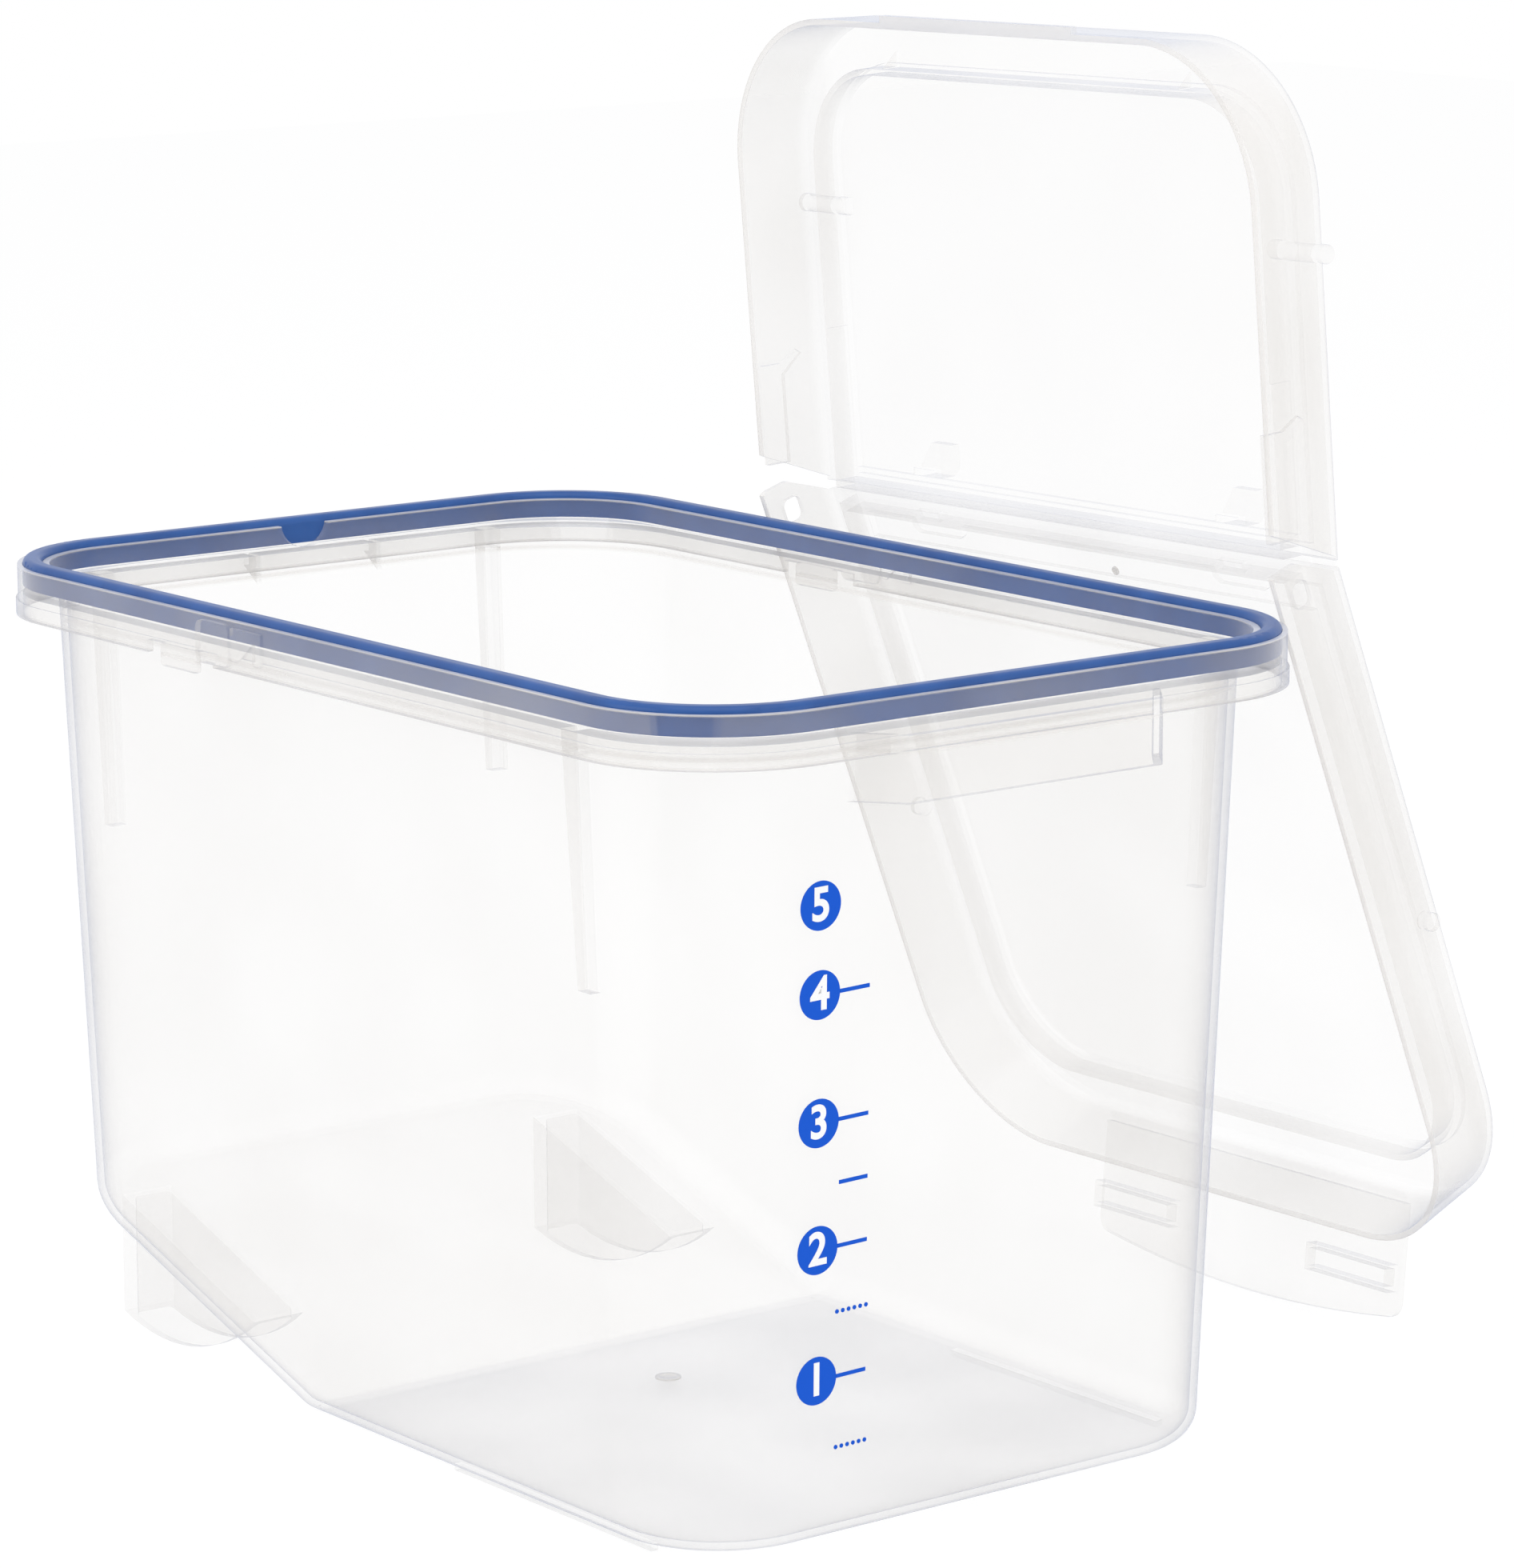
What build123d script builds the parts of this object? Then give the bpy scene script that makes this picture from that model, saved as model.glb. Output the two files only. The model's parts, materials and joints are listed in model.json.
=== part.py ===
from build123d import *
import math
import os

os.makedirs("parts", exist_ok=True)

# Bin: floor z = 0, print side faces -Y, sloped floor faces +Y
bin_height = 190.3  # underside of the base to the top of the rim
base_lift = 1.5  # the base stands on rails and feet
wall = 1.8
draft = 2.33  # degrees
rim_width = 189.3
rim_length = 290
rim_corner = 35
side_overhang = 6.1  # rim edge out from the wall at the channel
front_overhang = 8.15
rear_overhang = 6.75
base_corner = 30.1
base_round = 7.4
crease_y = 24  # where the floor starts to climb
slope_rise = 0.333  # climb per mm along Y

# Rim section
lip_wall = 1.2
lip_depth = 8.2
channel_depth = 4.9
channel_floor = 2.0
inner_lip_inset = 6.1
inner_lip_wall = 1.6
skirt_proud = 0.5
skirt_depth = 12
notch_radius = 7.2
notch_depth = 5.8

# Gasket
gasket_gap = 0.1
gasket_crest = 1.6

# Rails and rear feet
rail_inset = 7.1063  # in from the side of the base
rail_width = 2
rail_length = 75
rail_front_inset = 23.3063
foot_inset = 18.2063
foot_width = 14.4
foot_rear_inset = 12.3063
foot_length = 59.4
foot_wall = 2
foot_arc = 63
foot_low_offset = 9.9  # lowest point, rearward of the foot's middle

# Wall ribs
rib_width = 4.5
rib_drop = 64.8  # rim top down to the rib's foot
rib_head = 4.3
rib_toe = 2.6
side_rib_inset = 27.8063  # back from the front of the base
rear_rib_inset = 23.0063  # in from the side of the base
rear_rib_drop = 69.8
fin_width = 1.5

# Finger handle
handle_half = 36
handle_flare = 9
handle_drop = 23.1
handle_proud = 2
handle_wall = 1.8

# Catches on both long sides
skirt_gap_y = 47
skirt_gap_length = 28
skirt_gap_height = 3
catch_tab_y = 48.3
catch_tab_length = 15.4
catch_tab_drop = 1.5
boss_y = 31.85
boss_length = 13.7
boss_height = 10
boss_proud = 1
hook_y = 18.8
hook_length = 12.4
hook_height = 7.6
hook_proud = 0.9

# Printed rice scale
scale_inset = 33.3063  # column of discs, in from the side of the base
scale_lean = 1.19
disc_size = 11
disc_heights = [38.4, 68.2, 96.9, 125.6, 145.4]
tick_end = 13.7
tick_width = 0.9
short_tick_height = 82.6
short_tick_start = 5.8
dot_size = 1.0
dot_count = 6
dot_start = 5.6
dot_pitch = 1.62
dot_heights = [22.0, 53.2]
ink = 0.15

# Lid, drawn flat: x across, y away from the hinge line, z inward
lid_cover = 1.45  # lid edge out past the rim at the sides
lid_end_cover = 2.7  # and at the ends
lid_width = rim_width + 2 * lid_cover
flip_length = 120.1
front_length = rim_length + 2 * lid_end_cover - flip_length
lid_corner = 36
lid_depth = 21.6
lid_draft = 4
lid_wall = 1.5
lid_plate = 1.8
lid_edge_round = 2.4
panel_rise = 1.5
panel_start = 3.5
front_panel_start = 7.2
hinge_gap = 1
hinge_wall = 2.1
hinge_wall_height = 7.7
hinge_strip = 0.5
strip_break = 1.2
strip_end_inset = 1.6
seal_inset = 11.4
seal_end_inset = 12.3
seal_front_inset = 13
seal_wall = 1.6
seal_thin = 1
seal_height = 7.7
seal_thin_end = 41.7
skirt_chamfer_foot = 2
skirt_chamfer_head = 10.6
ear_reach = 6.8
ear_low = 14
ear_root = 12
ear_slot = 5.2
ear_slot_length = 6.4
ear_slot_z = 14.2
peg_size = 4.5
peg_y = 71.8
peg_inner_inset = 16.5
peg_proud = 1.8
bump_y = -91.6
snap_thickness = 1.3
snap_start = 7.8
snap_end = 33
snap_tip = 35.9
finger_tab_half = 35.9
finger_tab_reach = 1.9
finger_tab_thickness = 2
stop_x = 57.3
stop_width = 8.1
stop_start = 4.8
stop_end = 12.6
stop_height = 7.7
lobe_width = 20
lobe_reach = 3.6
window_width = 8.7
window_height = 2.4
gusset_inset = 29.4  # in from the side of the sealing rib
gusset_reach = 4.2

# Latch flap at the far end of the front lid
latch_axis_out = 1.9
latch_axis_in = 3
flap_corner_gap = 3.1  # flap's side in from the lid's rounded corner
flap_length = 33.9
flap_side_length = 29.4
flap_corner = 4
flap_wall = 1.6
flap_start = 1
lock_inner = 26
lock_side_inset = 1
lock_near = 16.4
lock_far = 23.2
lock_height = 3.5
lock_wall = 1.2

# How the open lid stands behind the bin, leaning on the rim
hinge_y = -27.6
stand_gap = 0.345  # middle of the flap's free edge above the ground
lean_lap = 0.648  # skirt edge where it leans, in past the side of the rim
lid_yaw = -1.29
lid_roll = 0.97
flip_lean = 4.29
front_lean = 20.3
latch_open = 64

# Derived frames
yaw = math.radians(lid_yaw)
roll = math.radians(lid_roll)
across = Vector(math.sin(yaw) * math.cos(roll), -math.cos(yaw) * math.cos(roll), math.sin(roll))
flat_in = Vector(-math.cos(yaw), -math.sin(yaw), 0)
flat_up = across.cross(flat_in) * -1
flip_in = flat_in * math.cos(math.radians(flip_lean)) - flat_up * math.sin(math.radians(flip_lean))
front_in = flat_in * math.cos(math.radians(front_lean)) - flat_up * math.sin(math.radians(front_lean))
front_up = front_in.cross(across)
lid_spread = math.tan(math.radians(lid_draft))
latch_angle = math.radians(latch_open)
latch_y = -front_length - lid_spread * latch_axis_in - latch_axis_out
flap_edge_y = latch_y - flap_length * math.sin(latch_angle)
flap_edge_z = latch_axis_in + flap_length * math.cos(latch_angle)
hinge_height = stand_gap - flap_edge_y * front_up.Z - flap_edge_z * front_in.Z
lean_level = base_lift + bin_height - hinge_height - lid_depth * front_in.Z
lean_y = min(lean_level / front_up.Z, 0)
hinge_x = rim_width / 2 - lid_depth * front_in.X - lean_y * front_up.X - lean_lap
hinge_point = Vector(hinge_x, hinge_y, hinge_height)
flip_plane = Plane(origin=hinge_point, x_dir=across, z_dir=flip_in)
front_plane = Plane(origin=hinge_point, x_dir=across, z_dir=front_in)

# Derived bin levels and outlines
lip_top = base_lift + bin_height
deck_top = lip_top - channel_depth
deck_under = deck_top - channel_floor
spread = math.tan(math.radians(draft))
deck_height = deck_top - base_lift
deck_width = rim_width - 2 * side_overhang
deck_length = rim_length - front_overhang - rear_overhang
body_y = (front_overhang - rear_overhang) / 2
base_width = deck_width - 2 * spread * deck_height
base_length = deck_length - 2 * spread * deck_height
cavity_floor = base_lift + wall
cavity_width = base_width + 2 * spread * wall - 2 * wall
cavity_length = base_length + 2 * spread * wall - 2 * wall
cavity_corner = base_corner + spread * wall - wall
base_front = body_y - base_length / 2
base_rear = body_y + base_length / 2
rail_x = base_width / 2 - rail_inset
rail_y = base_front + rail_front_inset + rail_length / 2
foot_x = base_width / 2 - foot_inset
foot_y = base_rear - foot_rear_inset - foot_length / 2
foot_low_y = foot_y + foot_low_offset
side_rib_y = base_front + side_rib_inset
rear_rib_x = base_width / 2 - rear_rib_inset
scale_x = scale_inset - base_width / 2
slope_angle = math.atan(slope_rise)
slope_wall = wall / math.cos(slope_angle)
slope_far = rim_length / 2 + 20
slope_far_z = base_lift + slope_rise * (slope_far - crease_y)

# Outer form of the drafted box, its floor climbing to the rear
with BuildPart() as outer_form:
    with BuildSketch(Plane.XY.offset(base_lift)):
        with Locations((0, body_y)):
            RectangleRounded(base_width, base_length, base_corner)
    extrude(amount=deck_height, taper=-draft)
    with BuildSketch(Plane.YZ):
        with BuildLine():
            Polyline(
                (crease_y, base_lift),
                (slope_far, slope_far_z),
                (slope_far, base_lift - 30),
                (crease_y, base_lift - 30),
                close=True,
            )
        make_face()
    extrude(amount=rim_width, both=True, mode=Mode.SUBTRACT)
    floor_faces = outer_form.faces().filter_by(lambda f: f.normal_at().Z < -0.9)
    fillet(floor_faces.edges(), radius=base_round)

# Inside of the box, one wall thickness in
with BuildPart() as cavity_form:
    with BuildSketch(Plane.XY.offset(cavity_floor)):
        with Locations((0, body_y)):
            RectangleRounded(cavity_width, cavity_length, cavity_corner)
    extrude(amount=deck_height - wall, taper=-draft)
    with BuildSketch(Plane.YZ):
        with BuildLine():
            Polyline(
                (crease_y - slope_rise * wall, cavity_floor),
                (slope_far, slope_far_z + slope_wall),
                (slope_far, base_lift - 30),
                (crease_y - slope_rise * wall, base_lift - 30),
                close=True,
            )
        make_face()
    extrude(amount=rim_width, both=True, mode=Mode.SUBTRACT)
    cavity_faces = cavity_form.faces().filter_by(lambda f: f.normal_at().Z < -0.9)
    fillet(cavity_faces.edges(), radius=base_round - wall)

# Rear feet: open tubes under the slope with a rocker-shaped lower edge
foot_top = base_lift + slope_rise * (foot_y + foot_length / 2 - crease_y) + wall / 2
foot_top_near = foot_top - slope_rise * foot_length
foot_first = foot_y - foot_length / 2
foot_last = foot_y + foot_length / 2
with BuildPart() as foot_form:
    with BuildSketch(Plane.YZ.offset(foot_x - foot_width / 2)):
        with BuildLine():
            Polyline(
                (foot_first, -5),
                (foot_last, -5),
                (foot_last, foot_top),
                (foot_first, foot_top_near),
                close=True,
            )
        make_face()
        with Locations((foot_low_y, foot_arc)):
            Circle(foot_arc, mode=Mode.INTERSECT)
    extrude(amount=foot_width)
    with BuildSketch(Plane.XY.offset(-5)):
        with Locations((foot_x, foot_y)):
            RectangleRounded(foot_width - 2 * foot_wall, foot_length - 2 * foot_wall, 1.5)
    extrude(amount=80, mode=Mode.SUBTRACT)

# Heights on the drafted walls
rib_top = deck_under + 0.5
rib_foot = lip_top - rib_drop
rib_top_wall = base_width / 2 + spread * (rib_top - base_lift)
rib_foot_wall = base_width / 2 + spread * (rib_foot - base_lift)
rear_rib_foot = lip_top - rear_rib_drop
rear_top_wall = body_y + base_length / 2 + spread * (rib_top - base_lift)
rear_foot_wall = body_y + base_length / 2 + spread * (rear_rib_foot - base_lift)
front_top_wall = body_y - base_length / 2 - spread * (lip_top - skirt_depth - base_lift)
handle_low = lip_top - handle_drop
handle_high = lip_top - lip_depth
handle_front = rim_length / 2 + handle_proud
side_face = rim_width / 2

with BuildPart() as bin_body:
    add(outer_form.part)
    with BuildSketch(Plane.XY.offset(deck_under)):
        RectangleRounded(rim_width - lip_wall, rim_length - lip_wall, rim_corner - lip_wall / 2)
    extrude(amount=channel_floor)
    with BuildSketch(Plane.XY.offset(lip_top - skirt_depth)):
        RectangleRounded(rim_width, rim_length, rim_corner)
        offset(amount=-lip_wall, mode=Mode.SUBTRACT)
    extrude(amount=skirt_depth)
    with BuildSketch(Plane.XY.offset(lip_top - skirt_depth)):
        RectangleRounded(rim_width, rim_length, rim_corner)
        offset(amount=skirt_proud)
        RectangleRounded(
            rim_width - lip_wall,
            rim_length - lip_wall,
            rim_corner - lip_wall / 2,
            mode=Mode.SUBTRACT,
        )
    extrude(amount=skirt_depth - lip_depth)
    with BuildSketch(Plane.XY.offset(deck_top - channel_floor / 2)):
        RectangleRounded(
            rim_width - 2 * inner_lip_inset,
            rim_length - 2 * inner_lip_inset,
            rim_corner - inner_lip_inset,
        )
        offset(amount=-inner_lip_wall, mode=Mode.SUBTRACT)
    extrude(amount=channel_depth + channel_floor / 2)
    add(cavity_form.part, mode=Mode.SUBTRACT)
    # dip in the inner lip at the rear
    with BuildSketch(Plane.XZ.offset(-(rim_length / 2 - inner_lip_inset - inner_lip_wall - 3))):
        with Locations((0, lip_top + notch_radius - notch_depth)):
            Circle(notch_radius)
    extrude(amount=-(inner_lip_wall + 3), mode=Mode.SUBTRACT)
    # ribs on the long walls
    with BuildSketch(Plane.XZ.offset(-side_rib_y - rib_width / 2)):
        with BuildLine():
            Polyline(
                (rib_top_wall - wall / 2, rib_top),
                (rib_top_wall + rib_head, rib_top),
                (rib_foot_wall + rib_toe, rib_foot),
                (rib_foot_wall - wall / 2, rib_foot),
                close=True,
            )
        make_face()
        mirror(about=Plane.YZ)
    extrude(amount=rib_width)
    # ribs and small fins on the rear wall
    with BuildSketch(Plane.YZ.offset(rear_rib_x - rib_width / 2)):
        with BuildLine():
            Polyline(
                (rear_top_wall - wall / 2, rib_top),
                (rear_top_wall + rib_head, rib_top),
                (rear_foot_wall + rib_toe, rear_rib_foot),
                (rear_foot_wall - wall / 2, rear_rib_foot),
                close=True,
            )
        make_face()
    rear_rib = extrude(amount=rib_width)
    mirror(rear_rib, about=Plane.YZ)
    for fin_x in (-13.5, 23):
        with BuildSketch(Plane.YZ.offset(fin_x - fin_width / 2)):
            with BuildLine():
                Polyline(
                    (rear_top_wall - wall / 2, rib_top),
                    (rim_length / 2 - lip_wall / 2, rib_top),
                    (rim_length / 2 - lip_wall / 2, rib_top - 3),
                    (rear_top_wall - wall / 2, rib_top - 8),
                    close=True,
                )
            make_face()
        extrude(amount=fin_width)
    # finger handle at the front
    with BuildSketch(Plane.XY.offset(handle_low)):
        with BuildLine():
            Polyline(
                (-handle_half - handle_flare, front_top_wall + 0.9),
                (-handle_half, -handle_front),
                (handle_half, -handle_front),
                (handle_half + handle_flare, front_top_wall + 0.9),
                (handle_half + handle_flare - 2.1, front_top_wall + 0.9),
                (handle_half - 1.1, -handle_front + handle_wall),
                (-handle_half + 1.1, -handle_front + handle_wall),
                (-handle_half - handle_flare + 2.1, front_top_wall + 0.9),
                close=True,
            )
        make_face()
    extrude(amount=handle_high - handle_low)
    # rails under the flat floor
    with BuildSketch(Plane.XY):
        with Locations((rail_x, rail_y), (-rail_x, rail_y)):
            Rectangle(rail_width, rail_length)
    extrude(amount=base_lift + wall / 2)
    add(foot_form.part)
    add(foot_form.part.mirror(Plane.YZ))
    # gap in the skirt and its tab, on both sides
    with BuildSketch(Plane.YZ.offset(side_face - 2.5)):
        with Locations((skirt_gap_y, lip_top - skirt_depth)):
            Rectangle(skirt_gap_length, 2 * skirt_gap_height)
    skirt_gap = extrude(amount=4, mode=Mode.SUBTRACT)
    mirror(skirt_gap, about=Plane.YZ, mode=Mode.SUBTRACT)
    with BuildSketch(Plane.YZ.offset(side_face - lip_wall)):
        with Locations((catch_tab_y, lip_top - skirt_depth + 1 - catch_tab_drop / 2)):
            RectangleRounded(catch_tab_length, skirt_gap_height + catch_tab_drop + 1, 1)
    catch_tab = extrude(amount=lip_wall)
    mirror(catch_tab, about=Plane.YZ)
    # pivot boss and snap hook on both sides
    with BuildSketch(Plane.YZ.offset(side_face - lip_wall / 2)):
        with Locations((boss_y, lip_top - 1 - boss_height / 2)):
            RectangleRounded(boss_length, boss_height, 2.4)
    boss = extrude(amount=lip_wall / 2 + skirt_proud + boss_proud)
    mirror(boss, about=Plane.YZ)
    hook_top = lip_top - 1.6
    hook_low = hook_top - hook_height
    hook_first = hook_y - hook_length / 2
    hook_last = hook_y + hook_length / 2
    with BuildSketch(Plane.YZ.offset(side_face - lip_wall / 2)):
        with BuildLine():
            Polyline(
                (hook_first, hook_top),
                (hook_last, hook_top),
                (hook_last, hook_low),
                (hook_last - 3, hook_low),
                (hook_first + 3.2, hook_top - 2.6),
                (hook_first + 3.2, hook_low),
                (hook_first, hook_low),
                close=True,
            )
        make_face()
    hook = extrude(amount=lip_wall / 2 + hook_proud)
    mirror(hook, about=Plane.YZ)
bin_body.part.label = "bin_body"
export_step(bin_body.part, "parts/bin_body.step")

# Soft seal ring lying in the rim channel
with BuildPart() as gasket:
    with BuildSketch(Plane.XY.offset(deck_top)):
        RectangleRounded(
            rim_width - 2 * (lip_wall + gasket_gap),
            rim_length - 2 * (lip_wall + gasket_gap),
            rim_corner - lip_wall - gasket_gap,
        )
        RectangleRounded(
            rim_width - 2 * (inner_lip_inset - gasket_gap),
            rim_length - 2 * (inner_lip_inset - gasket_gap),
            rim_corner - inner_lip_inset + gasket_gap,
            mode=Mode.SUBTRACT,
        )
    extrude(amount=channel_depth + gasket_crest)
    fillet(gasket.faces().sort_by(Axis.Z)[-1].edges(), radius=gasket_crest)
gasket.part.label = "gasket"
export_step(gasket.part, "parts/gasket.step")

# Plane of the drafted front wall, leaning with the printed column
print_normal = (0, -math.cos(math.radians(draft)), -math.sin(math.radians(draft)))
print_origin = (0, base_front, base_lift)
print_plane = Plane(origin=print_origin, x_dir=(1, 0, 0), z_dir=print_normal)
column_origin = print_plane.from_local_coords((scale_x, 0, 0))
lean = math.radians(scale_lean)
column_across = print_plane.x_dir * math.cos(lean) + print_plane.y_dir * math.sin(lean)
column_plane = Plane(origin=column_origin, x_dir=column_across, z_dir=print_normal)

# Numbered discs of the rice scale
with BuildPart() as scale_discs:
    with BuildSketch(column_plane):
        with Locations(*[(0, height) for height in disc_heights]):
            Circle(disc_size / 2)
    extrude(amount=ink)
scale_discs.part.label = "scale_discs"
export_step(scale_discs.part, "parts/scale_discs.step")

# Lines and dotted half marks of the rice scale
tick_start = disc_size / 2 + 0.05
with BuildPart() as scale_ticks:
    with BuildSketch(column_plane):
        with Locations(*[((tick_start + tick_end) / 2, height) for height in disc_heights[:4]]):
            Rectangle(tick_end - tick_start, tick_width)
        with Locations(((short_tick_start + tick_end) / 2, short_tick_height)):
            Rectangle(tick_end - short_tick_start, tick_width)
        for height in dot_heights:
            with Locations(*[(dot_start + n * dot_pitch, height) for n in range(dot_count)]):
                Circle(dot_size / 2)
    extrude(amount=ink)
scale_ticks.part.label = "scale_ticks"
export_step(scale_ticks.part, "parts/scale_ticks.step")

# Derived lid outlines, drawn flat
lid_length = flip_length + front_length
lid_y = (flip_length - front_length) / 2
seal_half = lid_width / 2 - seal_inset
seal_far = flip_length - seal_end_inset
seal_near = -(front_length - seal_front_inset)
seal_length = seal_far - seal_near
seal_y = (seal_far + seal_near) / 2
seal_corner = lid_corner - seal_inset
panel_half = seal_half + 0.5
pocket_half = seal_half - seal_wall
inner_half = panel_half + 1.2
gusset_x = seal_half - gusset_inset
peg_inner = lid_width / 2 - peg_inner_inset
peg_outer = lid_width / 2 + peg_proud
strip_end = lid_width / 2 - strip_end_inset
flap_width = lid_width - 2 * (lid_corner + flap_corner_gap)
lock_outer = flap_width / 2 - lock_side_inset

# One continuous drafted lid with its sealing rib
with BuildPart() as lid_shell:
    with BuildSketch():
        with Locations((0, lid_y)):
            RectangleRounded(lid_width, lid_length, lid_corner)
    extrude(amount=lid_depth, taper=-lid_draft)
    fillet(lid_shell.faces().sort_by(Axis.Z)[0].edges(), radius=lid_edge_round)
    with BuildSketch(Plane.XY.offset(lid_plate)):
        with Locations((0, lid_y)):
            RectangleRounded(
                lid_width + 2 * lid_spread * lid_plate - 2 * lid_wall,
                lid_length + 2 * lid_spread * lid_plate - 2 * lid_wall,
                lid_corner - lid_wall,
            )
    extrude(amount=lid_depth, taper=-lid_draft, mode=Mode.SUBTRACT)
    with BuildSketch(Plane.XY.offset(lid_plate / 2)):
        with Locations((0, seal_y)):
            RectangleRounded(2 * seal_half, seal_length, seal_corner)
            offset(amount=-seal_wall, mode=Mode.SUBTRACT)
    extrude(amount=seal_height - lid_plate / 2)

# Short half that flips open
with BuildPart() as flip_form:
    add(lid_shell.part)
    split(bisect_by=Plane(origin=(0, hinge_gap, 0), z_dir=(0, 1, 0)), keep=Keep.TOP)
    with BuildSketch(Plane.XY.offset(lid_plate / 2)):
        with Locations((0, hinge_gap + hinge_wall / 2)):
            Rectangle(2 * seal_half, hinge_wall)
    extrude(amount=hinge_wall_height - lid_plate / 2)
    # raised clear panel and the matching hollow on the inside
    with BuildSketch(Plane.XY.offset(-panel_rise)):
        with BuildLine():
            Polyline(
                (-panel_half, panel_start),
                (panel_half, panel_start),
                (panel_half, seal_far + 0.5),
                (-panel_half, seal_far + 0.5),
                close=True,
            )
        panel_face = make_face()
        fillet(panel_face.vertices().group_by(Axis.Y)[-1], radius=seal_corner + 0.5)
    extrude(amount=panel_rise + 0.3)
    with BuildSketch(Plane.XY.offset(lid_plate - panel_rise)):
        with BuildLine():
            Polyline(
                (-pocket_half, panel_start + 2.1),
                (pocket_half, panel_start + 2.1),
                (pocket_half, seal_far - seal_wall),
                (-pocket_half, seal_far - seal_wall),
                close=True,
            )
        pocket_face = make_face()
        fillet(pocket_face.vertices().group_by(Axis.Y)[-1], radius=seal_corner - seal_wall)
    extrude(amount=panel_rise, mode=Mode.SUBTRACT)
    # the sealing rib thins out toward the hinge
    thin_length = seal_thin_end - hinge_gap - hinge_wall
    with BuildSketch(Plane.XY.offset(lid_plate)):
        with Locations(
            (pocket_half, hinge_gap + hinge_wall + thin_length / 2),
            (-pocket_half, hinge_gap + hinge_wall + thin_length / 2),
        ):
            Rectangle(2 * (seal_wall - seal_thin), thin_length)
    extrude(amount=seal_height, mode=Mode.SUBTRACT)
    # side skirts cut back at the hinge
    with BuildSketch(Plane.YZ.offset(inner_half)):
        with BuildLine():
            Polyline(
                (-1, lid_plate),
                (skirt_chamfer_foot, lid_plate),
                (skirt_chamfer_head, lid_depth + 1),
                (-1, lid_depth + 1),
                close=True,
            )
        make_face()
    skirt_cut = extrude(amount=30, mode=Mode.SUBTRACT)
    mirror(skirt_cut, about=Plane.YZ, mode=Mode.SUBTRACT)
    # snap plates inside both side skirts
    snap_face = lid_width / 2 + lid_spread * 14 - lid_wall
    with BuildSketch(Plane.YZ.offset(snap_face - snap_thickness)):
        with BuildLine():
            Polyline(
                (snap_start, lid_depth - 0.6),
                (snap_start, 14.4),
                (snap_end - 3, 14.4),
                (snap_tip - 1, 8.7),
                (snap_tip, 10.2),
                (snap_end, 15.2),
                (snap_end, lid_depth - 0.6),
                close=True,
            )
        make_face()
    snap = extrude(amount=snap_thickness + 0.6)
    mirror(snap, about=Plane.YZ)
    # round pegs through both sides
    with BuildSketch(Plane.YZ.offset(peg_inner)):
        with Locations((peg_y, 1.2)):
            Circle(peg_size / 2)
    peg = extrude(amount=peg_outer - peg_inner)
    mirror(peg, about=Plane.YZ)
    # finger tab along the free edge
    tab_face = flip_length + lid_spread * lid_depth
    with BuildSketch(Plane.XY.offset(lid_depth - finger_tab_thickness)):
        with Locations((0, tab_face - lid_wall / 2 + finger_tab_reach / 2)):
            Rectangle(2 * finger_tab_half, lid_wall + finger_tab_reach - 0.5)
    extrude(amount=finger_tab_thickness)
    # stop blocks on the outside near the hinge
    with BuildSketch(Plane.YZ.offset(stop_x - stop_width / 2)):
        with BuildLine():
            Polyline(
                (stop_start, lid_plate / 2),
                (stop_start + 2.4, lid_plate / 2),
                (stop_start + 2.4, -panel_rise),
                (stop_end, 2.4 - stop_height),
                (stop_end, -stop_height),
                (stop_start + 1.6, -stop_height),
                (stop_start, 1.6 - stop_height),
                close=True,
            )
        make_face()
    stop = extrude(amount=stop_width)
    mirror(stop, about=Plane.YZ)
    # small gussets behind the sealing rib at the far end
    with BuildSketch(Plane.YZ.offset(gusset_x - 0.6)):
        with BuildLine():
            Polyline(
                (seal_far - 0.6, seal_height - 0.8),
                (seal_far + gusset_reach, lid_plate - 0.3),
                (seal_far - 0.6, lid_plate - 0.3),
                close=True,
            )
        make_face()
    gusset = extrude(amount=1.2)
    mirror(gusset, about=Plane.YZ)
with BuildPart() as flip_lid:
    with Locations(flip_plane.location):
        add(flip_form.part)
flip_lid.part.label = "flip_lid"
export_step(flip_lid.part, "parts/flip_lid.step")

# Outline of the ear that each side skirt carries past the hinge line
with BuildSketch() as ear_outline:
    with BuildLine():
        Polyline(
            (-hinge_gap - ear_root, lid_plate),
            (-hinge_gap, lid_plate),
            (ear_reach, ear_low),
            (ear_reach, lid_depth + 1),
            (-hinge_gap - ear_root, lid_depth + 1),
            close=True,
        )
    make_face()
    fillet(ear_outline.vertices().group_by(Axis.X)[-1], radius=2.8)

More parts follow.
